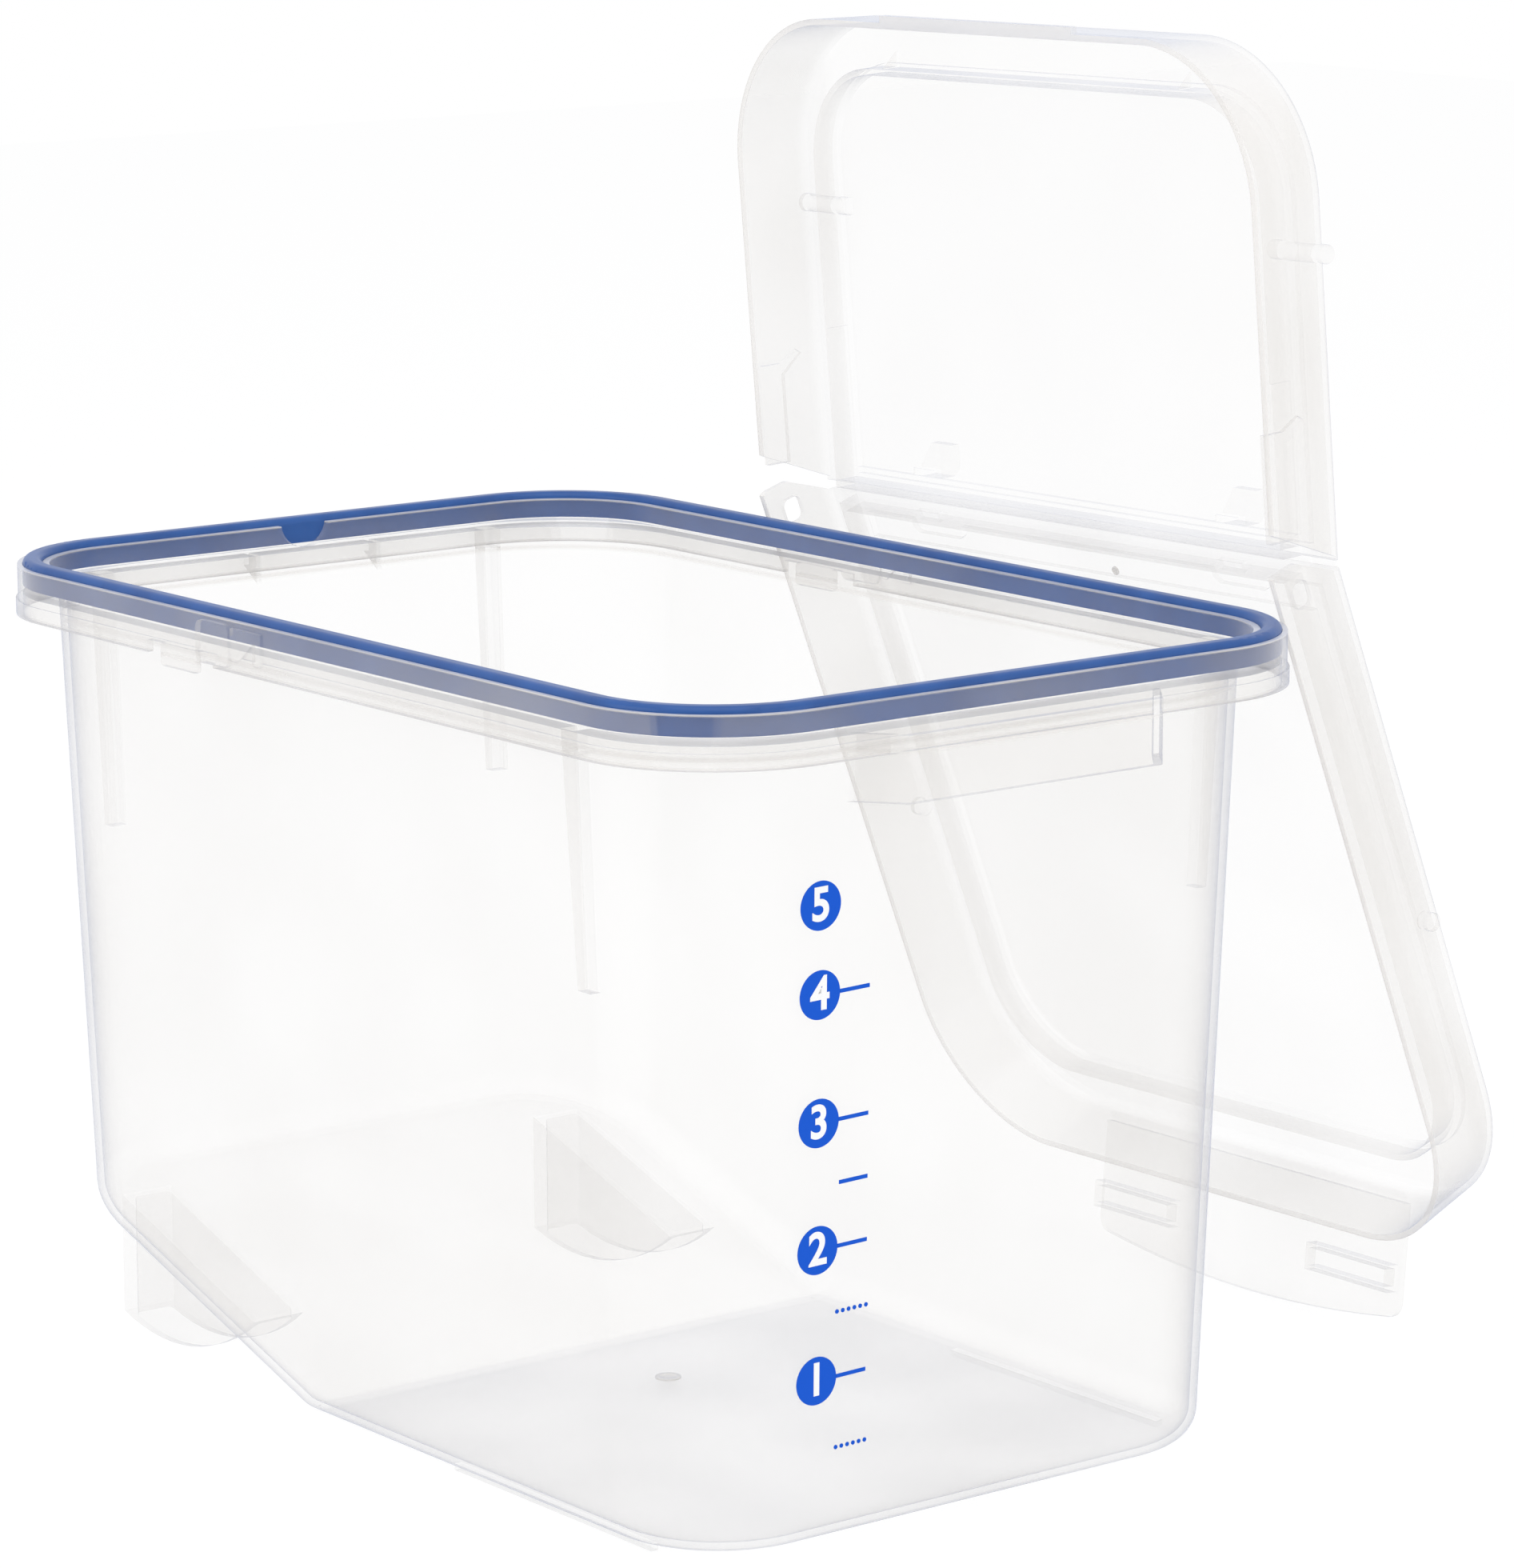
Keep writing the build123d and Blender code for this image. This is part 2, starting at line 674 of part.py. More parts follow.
# Long half that stays on the bin
with BuildPart() as front_form:
    add(lid_shell.part)
    with BuildSketch(Plane.YZ.offset(-lid_width)):
        with Locations(((flip_length + 20) / 2 - hinge_gap / 2, lid_depth / 2)):
            Rectangle(flip_length + 20 + hinge_gap, 3 * lid_depth)
        add(ear_outline.sketch, mode=Mode.SUBTRACT)
    extrude(amount=2 * lid_width, mode=Mode.SUBTRACT)
    with BuildSketch(Plane.XY.offset(-lid_depth)):
        with Locations((0, (flip_length + 20) / 2 - hinge_gap / 2)):
            Rectangle(2 * inner_half, flip_length + 20 + hinge_gap)
    extrude(amount=3 * lid_depth, mode=Mode.SUBTRACT)
    with BuildSketch(Plane.XY.offset(lid_plate / 2)):
        with Locations((0, -hinge_gap - hinge_wall / 2)):
            Rectangle(2 * seal_half, hinge_wall)
    extrude(amount=hinge_wall_height - lid_plate / 2)
    # raised clear panel, recessed where the stop blocks land
    with BuildSketch(Plane.XY.offset(-panel_rise)):
        with BuildLine():
            Polyline(
                (-panel_half, -front_panel_start),
                (panel_half, -front_panel_start),
                (panel_half, seal_near - 0.5),
                (-panel_half, seal_near - 0.5),
                close=True,
            )
        front_panel = make_face()
        fillet(front_panel.vertices().group_by(Axis.Y)[0], radius=seal_corner + 0.5)
        with Locations((stop_x, -front_panel_start), (-stop_x, -front_panel_start)):
            RectangleRounded(lobe_width, 2 * lobe_reach, 2.5, mode=Mode.SUBTRACT)
    extrude(amount=panel_rise + 0.3)
    with BuildSketch(Plane.XY.offset(lid_plate - panel_rise)):
        with BuildLine():
            Polyline(
                (-pocket_half, -front_panel_start - lobe_reach - 2.1),
                (pocket_half, -front_panel_start - lobe_reach - 2.1),
                (pocket_half, seal_near + seal_wall),
                (-pocket_half, seal_near + seal_wall),
                close=True,
            )
        front_pocket = make_face()
        fillet(front_pocket.vertices().group_by(Axis.Y)[0], radius=seal_corner - seal_wall)
    extrude(amount=panel_rise, mode=Mode.SUBTRACT)
    # windows beside the hinge wall
    with BuildSketch(Plane.XY.offset(-lid_plate)):
        with Locations(
            (stop_x, -hinge_gap - hinge_wall - window_height / 2 - 0.3),
            (-stop_x, -hinge_gap - hinge_wall - window_height / 2 - 0.3),
        ):
            Rectangle(window_width, window_height)
    extrude(amount=3 * lid_plate, mode=Mode.SUBTRACT)
    # slots in the ears
    with BuildSketch(Plane.YZ.offset(inner_half)):
        with Locations((-1, ear_slot_z)):
            RectangleRounded(ear_slot_length, ear_slot, 1.8)
    ear_cut = extrude(amount=30, mode=Mode.SUBTRACT)
    mirror(ear_cut, about=Plane.YZ, mode=Mode.SUBTRACT)
    # half-round bumps on both sides
    with BuildSketch(Plane.YZ.offset(lid_width / 2 - lid_wall)):
        with Locations((bump_y, 4.2)):
            Circle(peg_size / 2)
    bump = extrude(amount=peg_outer - lid_width / 2 + lid_wall)
    mirror(bump, about=Plane.YZ)
with BuildPart() as front_lid:
    with Locations(front_plane.location):
        add(front_form.part)
front_lid.part.label = "front_lid"
export_step(front_lid.part, "parts/front_lid.step")

# Living hinge: a thin strip bent where the two halves meet
bend = math.radians(front_lean - flip_lean)
strip_tip = hinge_gap - 0.06
with BuildPart() as strip_form:
    with BuildSketch(Plane.YZ):
        with BuildLine():
            Polyline(
                (-hinge_gap, 0),
                (0, 0),
                (strip_tip * math.cos(bend), -strip_tip * math.sin(bend)),
                (
                    strip_tip * math.cos(bend) + hinge_strip * math.sin(bend),
                    hinge_strip * math.cos(bend) - strip_tip * math.sin(bend),
                ),
                (hinge_strip * math.tan(bend / 2), hinge_strip),
                (-hinge_gap, hinge_strip),
                close=True,
            )
        make_face()
    extrude(amount=strip_end, both=True)
    with BuildSketch(Plane.XY.offset(-2)):
        with Locations((panel_half + strip_break / 2, 0), (-panel_half - strip_break / 2, 0)):
            Rectangle(strip_break, 6 * hinge_gap)
    extrude(amount=4, mode=Mode.SUBTRACT)
with BuildPart() as lid_hinge:
    with Locations(front_plane.location):
        add(strip_form.part)
lid_hinge.part.label = "lid_hinge"
export_step(lid_hinge.part, "parts/lid_hinge.step")

# Latch flap, drawn flat: x across, y away from its hinge line
flap_middle = (flap_length + flap_side_length) / 2
flap_plane = Plane(
    origin=(0, latch_y, latch_axis_in),
    x_dir=(1, 0, 0),
    z_dir=(0, -math.cos(latch_angle), -math.sin(latch_angle)),
)
with BuildPart() as flap_form:
    with BuildSketch(Plane.XY.offset(-flap_wall / 2)):
        with BuildLine():
            Polyline(
                (-flap_width / 2, flap_side_length),
                (-flap_width / 2, flap_start),
                (flap_width / 2, flap_start),
                (flap_width / 2, flap_side_length),
            )
            ThreePointArc(
                (flap_width / 2, flap_side_length),
                (0, flap_length),
                (-flap_width / 2, flap_side_length),
            )
        flap_face = make_face()
        fillet(flap_face.vertices().group_by(Axis.Y)[-1], radius=flap_corner)
    extrude(amount=flap_wall)
    # hollow lock blocks on the inner face
    lock_x = (lock_inner + lock_outer) / 2
    lock_y = (lock_near + lock_far) / 2
    with BuildSketch(Plane.XY.offset(-flap_wall / 2 - lock_height)):
        with Locations((lock_x, lock_y), (-lock_x, lock_y)):
            Rectangle(lock_outer - lock_inner, lock_far - lock_near)
            Rectangle(
                lock_outer - lock_inner - 2 * lock_wall,
                lock_far - lock_near - 2 * lock_wall,
                mode=Mode.SUBTRACT,
            )
    extrude(amount=lock_height + 0.2)
with BuildPart() as latch_flap:
    with Locations(front_plane.location * flap_plane.location):
        add(flap_form.part)
latch_flap.part.label = "latch_flap"
export_step(latch_flap.part, "parts/latch_flap.step")

# Thin web between the end skirt and the latch flap
web_half = hinge_strip / 2
web_low = latch_axis_in - web_half
web_high = latch_axis_in + web_half
web_tip = flap_start - 0.06
latch_sin = math.sin(latch_angle)
latch_cos = math.cos(latch_angle)
web_inner = math.tan((math.pi / 2 - latch_angle) / 2) * web_half
with BuildPart() as web_form:
    with BuildSketch(Plane.YZ):
        with BuildLine():
            Polyline(
                (-front_length - lid_spread * web_low, web_low),
                (latch_y - web_inner, web_low),
                (
                    latch_y - web_tip * latch_sin - web_half * latch_cos,
                    latch_axis_in + web_tip * latch_cos - web_half * latch_sin,
                ),
                (
                    latch_y - web_tip * latch_sin + web_half * latch_cos,
                    latch_axis_in + web_tip * latch_cos + web_half * latch_sin,
                ),
                (latch_y + web_inner, web_high),
                (-front_length - lid_spread * web_high, web_high),
                close=True,
            )
        make_face()
    extrude(amount=flap_width / 2 - 1, both=True)
with BuildPart() as latch_hinge:
    with Locations(front_plane.location):
        add(web_form.part)
latch_hinge.part.label = "latch_hinge"
export_step(latch_hinge.part, "parts/latch_hinge.step")
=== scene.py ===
import json
import math

import bpy
from mathutils import Matrix, Vector


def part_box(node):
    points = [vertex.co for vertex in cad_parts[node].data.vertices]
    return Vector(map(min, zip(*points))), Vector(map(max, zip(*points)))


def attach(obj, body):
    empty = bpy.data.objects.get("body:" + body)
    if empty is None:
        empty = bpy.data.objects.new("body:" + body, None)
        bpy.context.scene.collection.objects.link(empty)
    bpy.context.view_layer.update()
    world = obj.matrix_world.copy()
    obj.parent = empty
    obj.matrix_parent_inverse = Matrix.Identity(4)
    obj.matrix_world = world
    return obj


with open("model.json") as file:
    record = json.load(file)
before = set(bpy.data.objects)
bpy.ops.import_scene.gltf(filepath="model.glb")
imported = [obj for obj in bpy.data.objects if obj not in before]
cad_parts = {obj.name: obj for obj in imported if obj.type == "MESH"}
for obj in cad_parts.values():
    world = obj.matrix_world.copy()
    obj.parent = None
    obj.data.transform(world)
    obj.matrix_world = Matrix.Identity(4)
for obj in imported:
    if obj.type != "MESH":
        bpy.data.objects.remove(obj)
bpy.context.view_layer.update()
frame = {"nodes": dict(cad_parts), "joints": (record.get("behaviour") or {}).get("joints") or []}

scene = bpy.context.scene
nodes = frame["nodes"]
joints = {joint["name"]: joint for joint in frame["joints"]}


# small helpers

def linearColour(hexColour):
    # sRGB hex to the linear values that the shader sockets take
    parts = [int(hexColour[i:i + 2], 16) / 255 for i in (1, 3, 5)]
    return [p / 12.92 if p <= 0.04045 else ((p + 0.055) / 1.055) ** 2.4 for p in parts] + [1.0]


def addNode(tree, kind, settings=None, links=None):
    # settings go to the socket of that name or number, or else to the node itself
    node = tree.nodes.new(kind)
    for name, value in (settings or {}).items():
        if isinstance(name, int) or name in node.inputs:
            node.inputs[name].default_value = value
        else:
            setattr(node, name, value)
    for name, source in (links or {}).items():
        tree.links.new(source, node.inputs[name])
    return node


def startMaterial(name):
    material = bpy.data.materials.new(name)
    material.use_nodes = True
    material.node_tree.nodes.clear()
    return material, material.node_tree


def dress(nodeName, material):
    # gives every slot of a CAD node its finished material
    target = nodes[nodeName]
    if not target.material_slots:
        target.data.materials.append(material)
    for slot in target.material_slots:
        slot.material = material


def deselectAll():
    bpy.ops.object.select_all(action="DESELECT")


def turnTo(right, top, outward):
    return Matrix((right, top, outward)).transposed().to_4x4()


def settle(piece, place, turn, material, body):
    # puts a piece made at the origin in its place, with the place in its mesh, and hands it to its body
    piece.matrix_world = Matrix.Translation(place) @ turn
    bpy.ops.object.transform_apply(location=True, rotation=True, scale=True)
    piece.data.materials.clear()
    piece.data.materials.append(material)
    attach(piece, body)


# camera: a long lens from the front left, a little above the rim

cameraSet = {
    "place": (-0.8323, -1.1170, 0.4199),
    "azimuth": -37.984,
    "elevation": 11.129,
    "roll": -0.088,
    "focalPixels": 7521.43,
    "centre": (956.62, 980.94),
    "picture": (1893, 1960),
    "sensor": 36,
}


def makeCamera(s):
    az, el, roll = (math.radians(s[k]) for k in ("azimuth", "elevation", "roll"))
    forward = Vector((-math.sin(az) * math.cos(el), math.cos(az) * math.cos(el), -math.sin(el)))
    side = Vector((math.cos(az), math.sin(az), 0))
    top = side.cross(forward)
    right = side * math.cos(roll) + top * math.sin(roll)
    lensTop = top * math.cos(roll) - side * math.sin(roll)
    wide, tall = s["picture"]
    deselectAll()
    bpy.ops.object.camera_add()
    camera = bpy.context.object
    camera.name = "photoCamera"
    camera.matrix_world = Matrix.Translation(s["place"]) @ turnTo(right, lensTop, -forward)
    camera.data.sensor_width = s["sensor"]
    camera.data.lens = s["focalPixels"] / tall * s["sensor"]
    camera.data.shift_x = (wide / 2 - s["centre"][0]) / tall
    camera.data.shift_y = (s["centre"][1] - tall / 2) / tall
    camera.data.clip_end = 20
    scene.camera = camera


makeCamera(cameraSet)
print("camera placed")


# room: soft even studio light, a white surround and a pale floor that keeps a faint shadow

roomSet = {
    "surround": "#FFFFFF",
    "ambient": "#FBFBFD",
    "ambientStrength": 0.7,
    "floorSize": 6.0,
    "floorColour": "#F7F7F7",
    "floorGlow": 0.85,  # share of the floor that shows as plain white, the rest takes the shadow
    "shineStrength": 1.05,
    "aim": (0, 0, 0.12),
    "lamps": [
        {"name": "overheadSoftbox", "place": (-0.3, -0.5, 1.7), "size": 1.6, "power": 11},
        {"name": "leftSoftbox", "place": (-1.7, 0.2, 0.9), "size": 1.2, "power": 7},
        {"name": "frontSoftbox", "place": (0.6, -1.9, 0.8), "size": 1.2, "power": 5},
    ],
    "seeThroughLayers": 40,  # walls that one line of sight may cross
    "bounces": 4,
}


def seenByEye(tree):
    # 1 for rays that end in the picture: direct, mirrored or passed through
    ray = addNode(tree, "ShaderNodeLightPath")
    seen = addNode(tree, "ShaderNodeMath", {"operation": "MAXIMUM"},
                   {0: ray.outputs["Is Camera Ray"], 1: ray.outputs["Is Glossy Ray"]})
    seenAll = addNode(tree, "ShaderNodeMath", {"operation": "MAXIMUM"},
                      {0: seen.outputs[0], 1: ray.outputs["Is Transmission Ray"]})
    return seenAll.outputs[0]


def makeSurround(s):
    world = bpy.data.worlds.new("studioSurround")
    scene.world = world
    world.use_nodes = True
    tree = world.node_tree
    tree.nodes.clear()
    white = addNode(tree, "ShaderNodeBackground", {"Color": linearColour(s["surround"]), "Strength": 1.0})
    glow = addNode(tree, "ShaderNodeBackground",
                   {"Color": linearColour(s["ambient"]), "Strength": s["ambientStrength"]})
    mix = addNode(tree, "ShaderNodeMixShader",
                  links={0: seenByEye(tree), 1: glow.outputs[0], 2: white.outputs[0]})
    addNode(tree, "ShaderNodeOutputWorld", links={"Surface": mix.outputs[0]})


def makeFloor(s):
    deselectAll()
    bpy.ops.mesh.primitive_plane_add(size=s["floorSize"], location=(0, 0, 0))
    floor = bpy.context.object
    floor.name = "paleFloor"
    material, tree = startMaterial("paperSweep")  # matt white paper sweep
    share = addNode(tree, "ShaderNodeMath", {"operation": "MULTIPLY", 1: s["floorGlow"]},
                    {0: seenByEye(tree)})
    paper = addNode(tree, "ShaderNodeBsdfDiffuse", {"Color": linearColour(s["floorColour"])})
    shine = addNode(tree, "ShaderNodeEmission",
                    {"Color": linearColour(s["surround"]), "Strength": s["shineStrength"]})
    mix = addNode(tree, "ShaderNodeMixShader",
                  links={0: share.outputs[0], 1: paper.outputs[0], 2: shine.outputs[0]})
    addNode(tree, "ShaderNodeOutputMaterial", links={"Surface": mix.outputs[0]})
    floor.data.materials.append(material)


def makeLamps(s):
    for lamp in s["lamps"]:
        deselectAll()
        bpy.ops.object.light_add(type="AREA", location=lamp["place"])
        light = bpy.context.object
        light.name = lamp["name"]
        light.data.size = lamp["size"]
        light.data.energy = lamp["power"]
        aim = Vector(s["aim"]) - Vector(lamp["place"])
        light.rotation_euler = aim.to_track_quat("-Z", "Y").to_euler()
    scene.view_settings.view_transform = "Standard"
    scene.cycles.transparent_max_bounces = s["seeThroughLayers"]
    scene.cycles.max_bounces = s["bounces"]
    scene.cycles.diffuse_bounces = s["bounces"] // 2
    scene.cycles.glossy_bounces = s["bounces"] // 2


makeSurround(roomSet)
makeFloor(roomSet)
makeLamps(roomSet)
print("room and lamps placed")


# polypropylene: injection moulded, faintly milky, clearest where a wall is seen square on, with a painted
# blue-grey shade where a wall is seen at a glancing angle

plasticSet = {
    "faceColour": "#EDE9E3",
    # painted shade: the blue-grey darkening that a wall takes on as it is seen at an ever more glancing
    # angle
    "glancingShadeColour": "#A3AFCE",
    "roughness": 0.24,
    "ior": 1.49,
    "cloudSize": 0.035,
    "cloudSpread": 0.2,  # how far the clouds raise or lower the haze
    "cloudEdge": 0.2,  # how far from its mean the noise counts in full
    "glancePower": 3.6,
}


def bandHaze(tree, where, band):
    # a band is a slab that is thicker or more textured: direction, start and end along it, in metres
    along = addNode(tree, "ShaderNodeVectorMath", {"operation": "DOT_PRODUCT", 1: band["direction"]},
                    {0: where})
    source = along.outputs["Value"]
    if "middle" in band:
        offset = addNode(tree, "ShaderNodeMath", {"operation": "SUBTRACT", 1: band["middle"]},
                         {0: source})
        fold = addNode(tree, "ShaderNodeMath", {"operation": "ABSOLUTE"}, {0: offset.outputs[0]})
        source = fold.outputs[0]
    ramp = addNode(tree, "ShaderNodeMapRange",
                   {"From Min": band["start"], "From Max": band["end"], "To Max": band["haze"]},
                   {"Value": source})
    return ramp.outputs[0]


def makePlastic(name, haze, edgeHaze, bands=()):
    # haze is the share of light a surface holds back square on, edgeHaze the share at a glancing angle
    s = plasticSet
    material, tree = startMaterial(name)
    where = addNode(tree, "ShaderNodeTexCoord").outputs["Object"]
    clouds = addNode(tree, "ShaderNodeTexNoise", {"Scale": 1 / s["cloudSize"], "Detail": 0.0},
                     {"Vector": where})
    cloudy = addNode(tree, "ShaderNodeMapRange",
                     {"From Min": 0.5 - s["cloudEdge"], "From Max": 0.5 + s["cloudEdge"],
                      "To Min": 1 - s["cloudSpread"], "To Max": 1 + s["cloudSpread"]},
                     {"Value": clouds.outputs["Fac"]})
    facing = addNode(tree, "ShaderNodeLayerWeight", {"Blend": 0.5})
    glance = addNode(tree, "ShaderNodeMath", {"operation": "POWER", 1: s["glancePower"]},
                     {0: facing.outputs["Facing"]})
    milk = addNode(tree, "ShaderNodeMapRange", {"To Min": haze, "To Max": edgeHaze},
                   {"Value": glance.outputs[0]})
    total = milk.outputs[0]
    for band in bands:
        join = addNode(tree, "ShaderNodeMath", {"operation": "ADD", "use_clamp": True},
                       {0: total, 1: bandHaze(tree, where, band)})
        total = join.outputs[0]
    share = addNode(tree, "ShaderNodeMath", {"operation": "MULTIPLY", "use_clamp": True},
                    {0: total, 1: cloudy.outputs[0]})
    # painted shade: the colour turns from the face colour to a blue-grey shade as the wall is seen at a
    # glancing angle
    tint = addNode(tree, "ShaderNodeMix",
                   {"data_type": "RGBA", 6: linearColour(s["faceColour"]), 7: linearColour(s["glancingShadeColour"])},
                   {"Factor": glance.outputs[0]})
    body = addNode(tree, "ShaderNodeBsdfPrincipled", {"Roughness": s["roughness"], "IOR": s["ior"]},
                   {"Base Color": tint.outputs[2], "Alpha": share.outputs[0]})
    addNode(tree, "ShaderNodeOutputMaterial", links={"Surface": body.outputs[0]})
    return material


# bin: the drafted box is clear, and its rim, ribs, handle and feet are milkier

binSet = {
    "halfWidth": 0.0810,  # at the base, to the outer faces of its walls
    "frontReach": 0.1293,
    "rearReach": 0.1307,
    "lift": 0.0015,  # of the base, above the ground
    "draft": 2.33,
    "slopeRise": 0.333,
    "creaseY": 0.024,  # where the flat floor turns into the slope
    "haze": 0.04,
    "edgeHaze": 0.85,
    "sideHaze": 0.08,
    "frontHaze": 0.05,
    "rearHaze": 0.08,
    "footHaze": 0.025,
    "proud": (0.0004, 0.0008),  # beyond a face: where its haze begins and where it is whole
    # start, end and haze, measured down from the top of the rim, or both ways from a middle below it
    "rim": {
        "skirtLine": {"middle": 0.0119, "start": 0.0006, "end": 0.0002, "haze": 0.2},
        "skirt": {"middle": 0.0098, "start": 0.0032, "end": 0.0026, "haze": 0.06},
        "innerLip": {"start": 0.0068, "end": 0.0038, "haze": 0.02},
        "rimTop": {"start": 0.0005, "end": 0.0001, "haze": 0.5},
    },
}
drafted = math.radians(binSet["draft"])
draftSin, draftCos = math.sin(drafted), math.cos(drafted)


def proudBands(s):
    # what stands out beyond a drafted wall, or hangs below the sloped floor
    slope = math.atan(s["slopeRise"])
    walls = [
        ((1, 0), s["halfWidth"], s["sideHaze"]),
        ((-1, 0), s["halfWidth"], s["sideHaze"]),
        ((0, -1), s["frontReach"], s["frontHaze"]),
        ((0, 1), s["rearReach"], s["rearHaze"]),
    ]
    faces = [((x * draftCos, y * draftCos, -draftSin), reach * draftCos - s["lift"] * draftSin, haze)
             for (x, y), reach, haze in walls]
    faces.append(((0, math.sin(slope), -math.cos(slope)),
                  s["creaseY"] * math.sin(slope) - s["lift"] * math.cos(slope), s["footHaze"]))
    near, far = s["proud"]
    return [{"direction": direction, "start": level + near, "end": level + far, "haze": haze}
            for direction, level, haze in faces]


def rimBands(s):
    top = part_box("bin_body")[1][2]
    bands = []
    for row in s["rim"].values():
        band = {**row, "direction": (0, 0, 1)}
        for key in ("middle",) if "middle" in row else ("start", "end"):
            band[key] = top - row[key]
        bands.append(band)
    return bands


dress("bin_body", makePlastic("clearPolypropylene", binSet["haze"], binSet["edgeHaze"],
                              proudBands(binSet) + rimBands(binSet)))
print("bin dressed")


# lid: clear panels, milkier margins and skirts, a flap of even haze and clear hinge strips

lidSet = {
    "flipLean": 4.29,
    "frontLean": 20.3,
    "stripHalf": 0.00025,  # half of the hinge strip, which turns about its middle
    "haze": 0.022,
    "edgeHaze": 0.7,
    # along an axis from the hinge point: start, end, haze, and whether both sides are meant
    "bands": [
        ("inward", 0.0020, 0.0050, 0.08, False),
        ("across", 0.0840, 0.0870, 0.05, True),
        ("inward", 0.0212, 0.0215, 0.3, False),
    ],
    "flapHaze": 0.08,
    "stripHaze": 0.02,
    "stripEdgeHaze": 0.35,
}
lidAcross = -Vector(joints["lid_flip"]["axis"])


def lidAxes(lean):
    # axes of a lid half that leans by so many degrees
    level = Vector((lidAcross.y, -lidAcross.x, 0)).normalized()
    rise = level.cross(lidAcross)
    inward = level * math.cos(math.radians(lean)) - rise * math.sin(math.radians(lean))
    return {"across": lidAcross, "away": inward.cross(lidAcross), "inward": inward}


flipAxes = lidAxes(lidSet["flipLean"])
frontAxes = lidAxes(lidSet["frontLean"])
middleAxes = lidAxes((lidSet["flipLean"] + lidSet["frontLean"]) / 2)
hingePoint = Vector(joints["lid_flip"]["pos_m"]) - middleAxes["inward"] * lidSet["stripHalf"]


def lidBands(axes, rows):
    made = []
    for axis, start, end, haze, both in rows:
        zero = hingePoint.dot(axes[axis])
        band = {"direction": tuple(axes[axis]), "haze": haze}
        if both:
            band.update({"middle": zero, "start": start, "end": end})
        else:
            band.update({"start": zero + start, "end": zero + end})
        made.append(band)
    return made


def dressLid(s):
    dress("flip_lid", makePlastic("clearFlipPolypropylene", s["haze"], s["edgeHaze"],
                                  lidBands(flipAxes, s["bands"])))
    dress("front_lid", makePlastic("clearFrontPolypropylene", s["haze"], s["edgeHaze"],
                                   lidBands(frontAxes, s["bands"])))
    dress("latch_flap", makePlastic("milkyFlapPolypropylene", s["flapHaze"], s["edgeHaze"]))
    hingePlastic = makePlastic("flexedPolypropylene", s["stripHaze"], s["stripEdgeHaze"])
    for name in ("lid_hinge", "latch_hinge"):
        dress(name, hingePlastic)


dressLid(lidSet)
print("lid dressed")


# gasket: moulded silicone rubber, dyed navy, satin

gasketSet = {
    "colour": "#3160A6",
    "deepColour": "#234784",
    "roughness": 0.34,
    "ior": 1.43,
    "gloss": 0.35,
    "mottle": 0.012,
    "bump": 0.08,
    "bumpHeight": 0.0004,
}


def makeSilicone(s):
    material, tree = startMaterial("navySilicone")
    where = addNode(tree, "ShaderNodeTexCoord")
    mottle = addNode(tree, "ShaderNodeTexNoise", {"Scale": 1 / s["mottle"], "Detail": 3.0},
                     {"Vector": where.outputs["Object"]})
    tint = addNode(tree, "ShaderNodeMix",
                   {"data_type": "RGBA", 6: linearColour(s["deepColour"]), 7: linearColour(s["colour"])},
                   {"Factor": mottle.outputs["Fac"]})
    bump = addNode(tree, "ShaderNodeBump", {"Strength": s["bump"], "Distance": s["bumpHeight"]},
                   {"Height": mottle.outputs["Fac"]})
    body = addNode(tree, "ShaderNodeBsdfPrincipled",
                   {"Roughness": s["roughness"], "IOR": s["ior"], "Specular IOR Level": s["gloss"]},
                   {"Base Color": tint.outputs[2], "Normal": bump.outputs["Normal"]})
    addNode(tree, "ShaderNodeOutputMaterial", links={"Surface": body.outputs[0]})
    return material


dress("gasket", makeSilicone(gasketSet))
print("gasket dressed")


# printed scale: opaque pad-printed ink, with white figures on its discs

inkSet = {
    "blue": "#0758D2",
    "white": "#FDFDFD",
    "roughness": 0.45,
    "roughSpread": 0.05,
    "gloss": 0.15,
    "speck": 0.0006,
}


def makeInk(name, colour, s):
    material, tree = startMaterial(name)
    where = addNode(tree, "ShaderNodeTexCoord")
    speck = addNode(tree, "ShaderNodeTexNoise", {"Scale": 1 / s["speck"], "Detail": 1.0},
                    {"Vector": where.outputs["Object"]})
    low, high = (s["roughness"] + change for change in (-s["roughSpread"], s["roughSpread"]))
    rough = addNode(tree, "ShaderNodeMapRange", {"To Min": low, "To Max": high},
                    {"Value": speck.outputs["Fac"]})
    body = addNode(tree, "ShaderNodeBsdfPrincipled",
                   {"Base Color": linearColour(colour), "Specular IOR Level": s["gloss"]},
                   {"Roughness": rough.outputs[0]})
    addNode(tree, "ShaderNodeOutputMaterial", links={"Surface": body.outputs[0]})
    return material


blueInk = makeInk("bluePrintInk", inkSet["blue"], inkSet)
whiteInk = makeInk("whitePrintInk", inkSet["white"], inkSet)
dress("scale_discs", blueInk)
dress("scale_ticks", blueInk)

figureSet = {
    "columnX": -0.0477,
    "lean": 1.19,
    "heights": (0.0384, 0.0682, 0.0969, 0.1256, 0.1454),  # of the discs, up the wall from its base line
    "size": 0.0104,
    "proud": 0.00018,
    "thickness": 0.00002,
    "weight": 0.00026,
    "widen": 1.22,
}


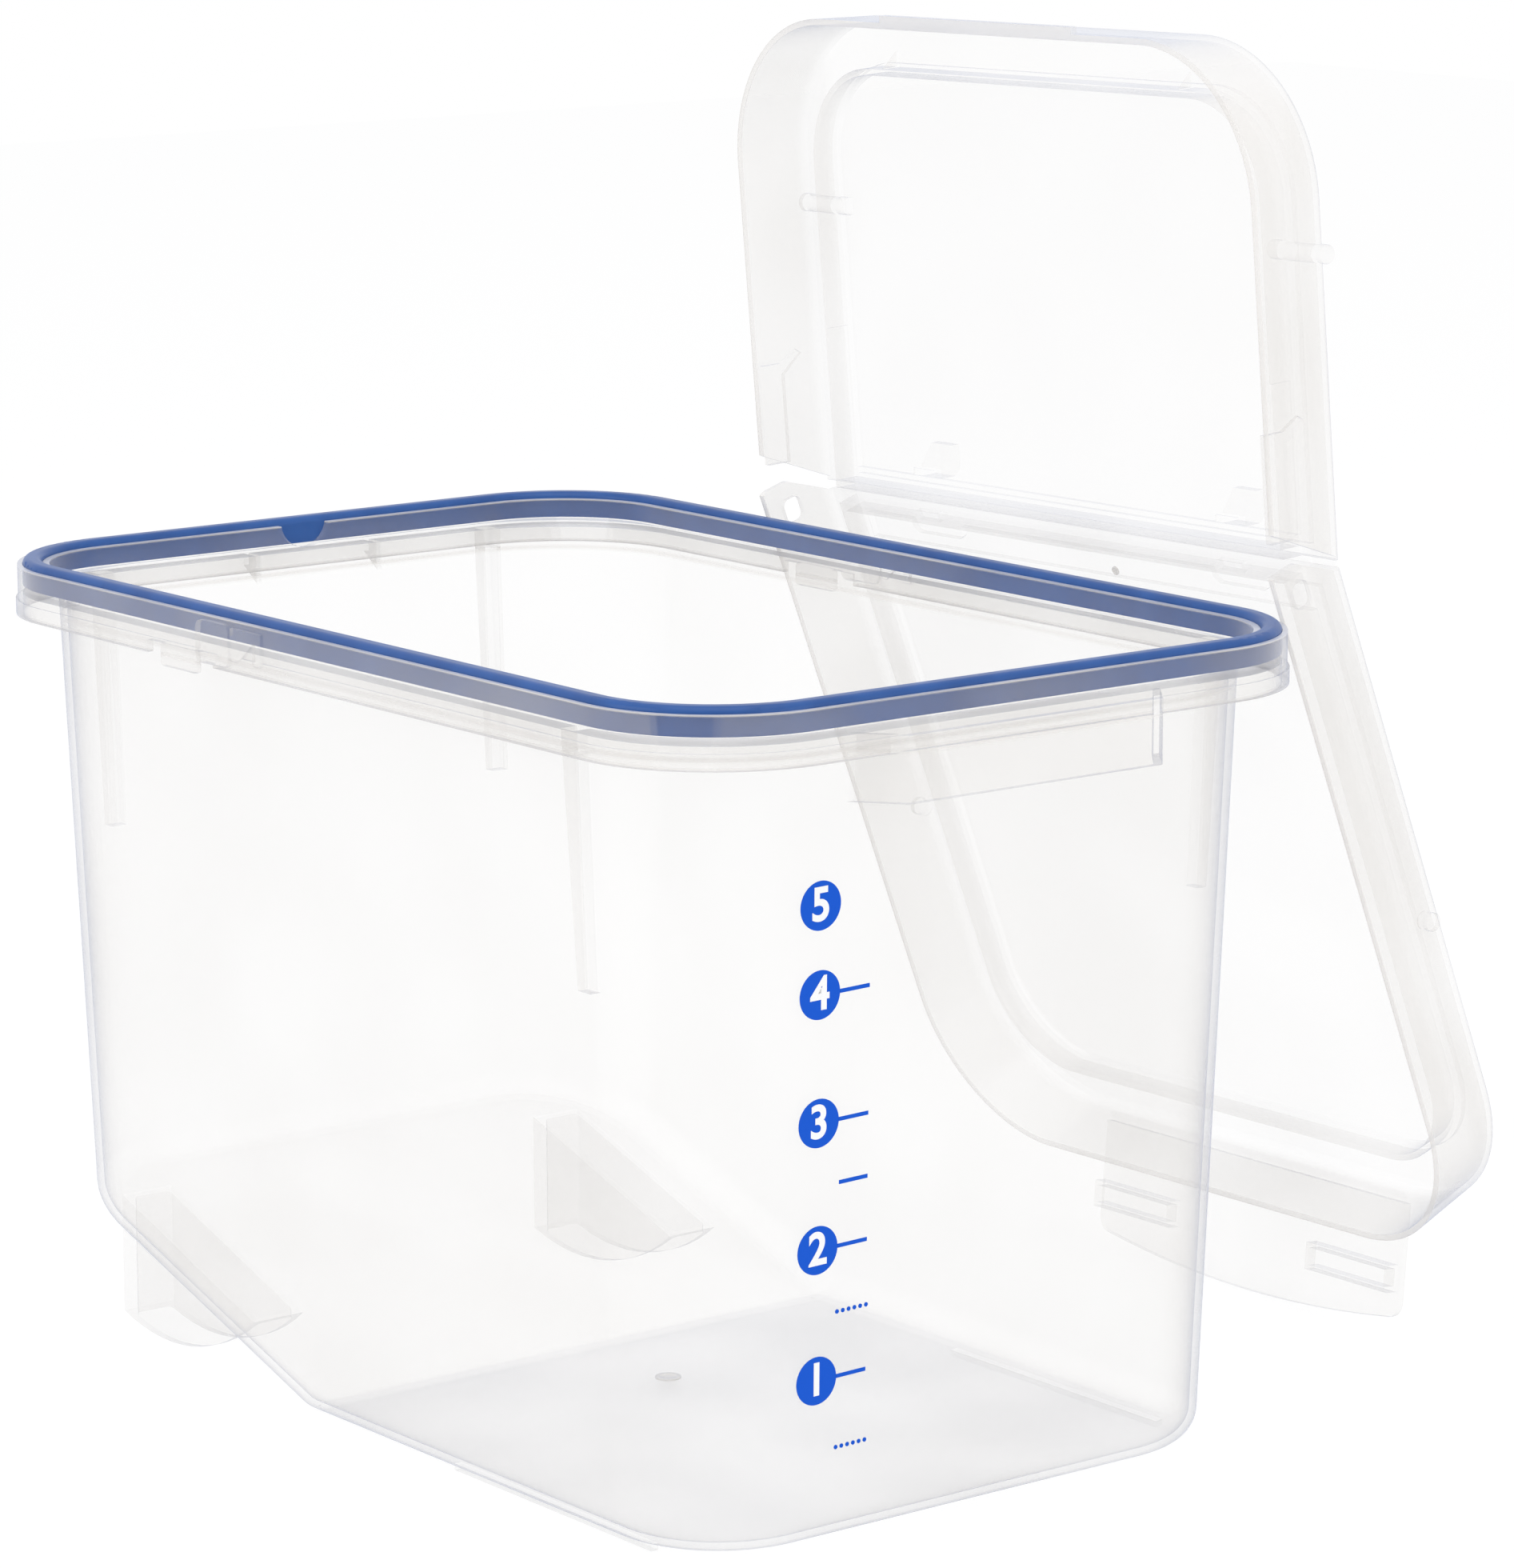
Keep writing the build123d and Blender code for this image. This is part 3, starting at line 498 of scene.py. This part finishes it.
def makeFigures(s):
    # the numbers 1 to 5, one on each disc, laid on the drafted wall
    lean = math.radians(s["lean"])
    outward = Vector((0, -draftCos, -draftSin))
    across = Vector((1, 0, 0))
    wallTop = outward.cross(across)
    right = across * math.cos(lean) + wallTop * math.sin(lean)
    top = wallTop * math.cos(lean) - across * math.sin(lean)
    foot = Vector((s["columnX"], -binSet["frontReach"], binSet["lift"]))
    for number, height in enumerate(s["heights"], 1):
        deselectAll()
        bpy.ops.object.text_add()
        figure = bpy.context.object
        figure.name = "figure" + str(number)
        figure.data.body = str(number)
        figure.data.size = s["size"]
        figure.data.align_x = "CENTER"
        figure.data.align_y = "CENTER"
        figure.data.offset = s["weight"]
        figure.data.extrude = s["thickness"]
        bpy.ops.object.convert(target="MESH")
        bpy.ops.transform.resize(value=(s["widen"], 1, 1), center_override=(0, 0, 0))
        place = foot + top * height + outward * s["proud"]
        settle(figure, place, turnTo(right, top, outward), whiteInk, "bin")


makeFigures(figureSet)
print("scale figures placed")


# marks of the mould: a round gate in the floor of the bin and another in the lid

gateSet = {
    "depth": 0.0004,
    "edge": (0.28, 0.00005),  # share of the radius, then how far it rises
    "dimple": (0.3, -0.00022),
    "haze": 0.45,
    "edgeHaze": 0.8,
    "binPlace": (0.0009, -0.0119, 0.0035),
    "binRadius": 0.0031,
    "lidPlace": {"across": 0.0130, "away": -0.0110, "inward": 0.0019},
    "lidRadius": 0.0011,
}


def makeGate(s, name, place, turn, radius, body, material):
    # a shallow turned dimple: a short disc, inset twice, its middle pressed in
    deselectAll()
    bpy.ops.mesh.primitive_cylinder_add(vertices=40, radius=radius, depth=s["depth"])
    gate = bpy.context.object
    gate.name = name
    bpy.ops.object.mode_set(mode="EDIT")
    bpy.ops.mesh.select_mode(type="FACE")
    bpy.ops.mesh.select_all(action="DESELECT")
    bpy.ops.object.mode_set(mode="OBJECT")
    for face in gate.data.polygons:
        face.select = face.normal.z > 0.9
    bpy.ops.object.mode_set(mode="EDIT")
    for share, rise in (s["edge"], s["dimple"]):
        bpy.ops.mesh.inset(thickness=radius * share, depth=rise)
    bpy.ops.object.mode_set(mode="OBJECT")
    settle(gate, place, turn, material, body)


def makeGates(s):
    frosted = makePlastic("frostedGatePolypropylene", s["haze"], s["edgeHaze"])
    makeGate(s, "floorGate", s["binPlace"], Matrix.Identity(4), s["binRadius"], "bin", frosted)
    lidTurn = turnTo(frontAxes["across"], frontAxes["away"], frontAxes["inward"])
    lidPlace = hingePoint.copy()
    for axis, distance in s["lidPlace"].items():
        lidPlace += frontAxes[axis] * distance
    makeGate(s, "lidGate", lidPlace, lidTurn, s["lidRadius"], "lid", frosted)


makeGates(gateSet)
print("mould marks placed")
